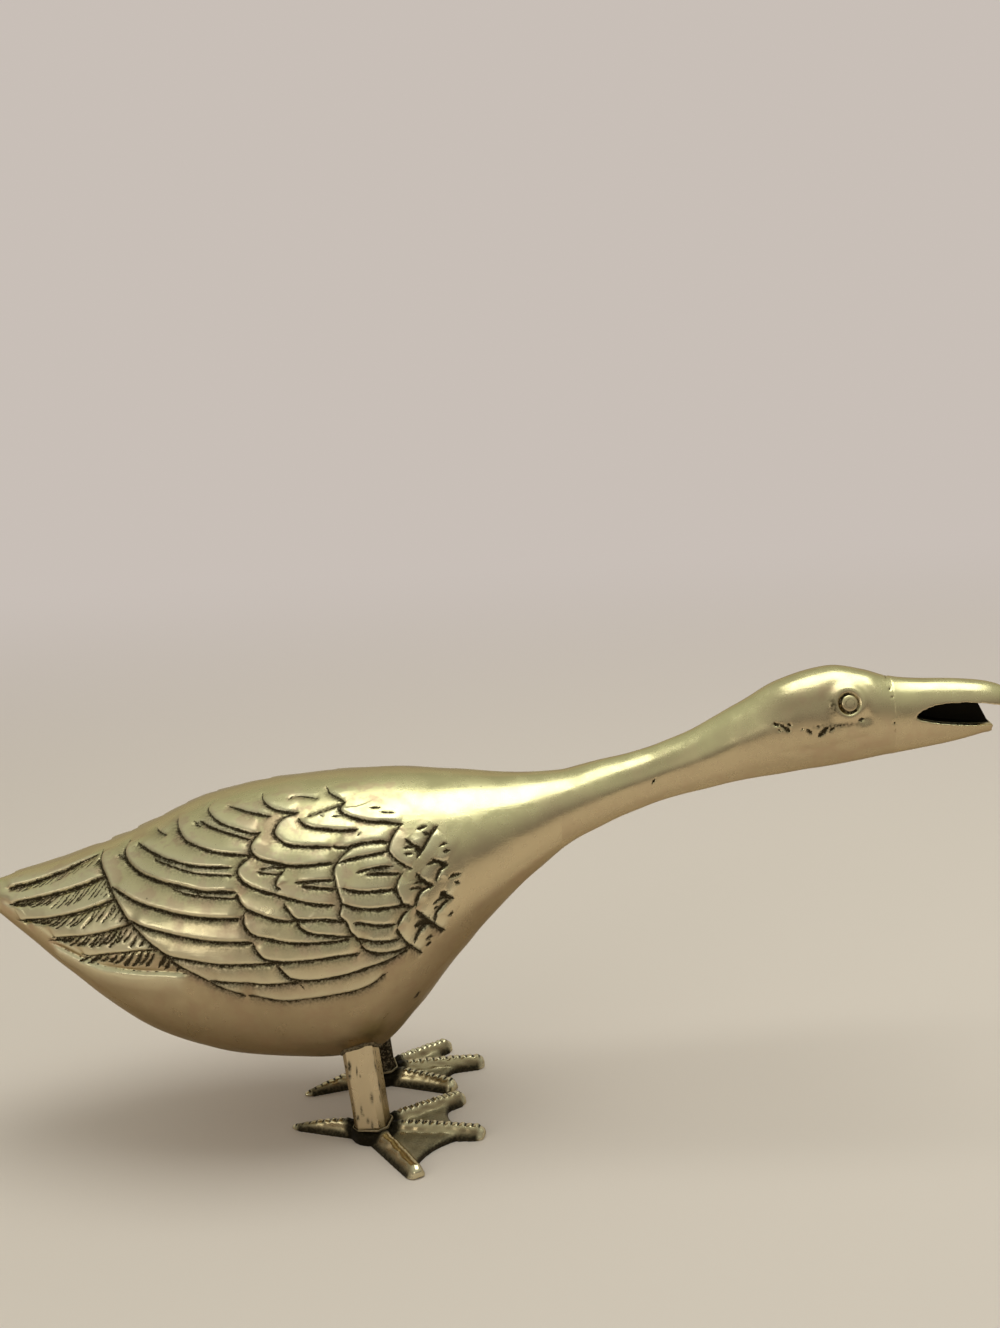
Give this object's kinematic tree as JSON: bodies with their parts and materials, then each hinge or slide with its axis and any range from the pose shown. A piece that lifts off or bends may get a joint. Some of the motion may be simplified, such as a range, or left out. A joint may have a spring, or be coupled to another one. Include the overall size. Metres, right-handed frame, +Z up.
{
  "type": "goose figurine",
  "caption": "Polished brass standing goose figurine with an outstretched neck, open beak, chased wing and tail feathers, square legs and ridged webbed feet.",
  "frame": {"origin": "under the middle of the goose's overall length and width, on the surface that its soles stand on", "axes": "+X from tail to beak, +Y to the goose's left, +Z up"},
  "size_m": [0.294, 0.0814, 0.1251],
  "materials": {
    "polished_brass": "aged polish with dark patina in the chasing",
    "cast_brass": "as cast, rubbed bright on the edges",
    "filler_brass": "dull brazing filler"
  },
  "bodies": {
    "root": {"right_body_half": "polished_brass", "left_body_half": "polished_brass", "neck_and_head": "polished_brass", "beak": "polished_brass", "right_eye_stud": "polished_brass", "left_eye_stud": "polished_brass", "right_leg": "cast_brass", "left_leg": "cast_brass", "right_foot": "cast_brass", "left_foot": "cast_brass", "right_belly_fillet": "filler_brass", "left_belly_fillet": "filler_brass", "right_ankle_fillet": "filler_brass", "left_ankle_fillet": "filler_brass"}
  },
  "joints": []
}
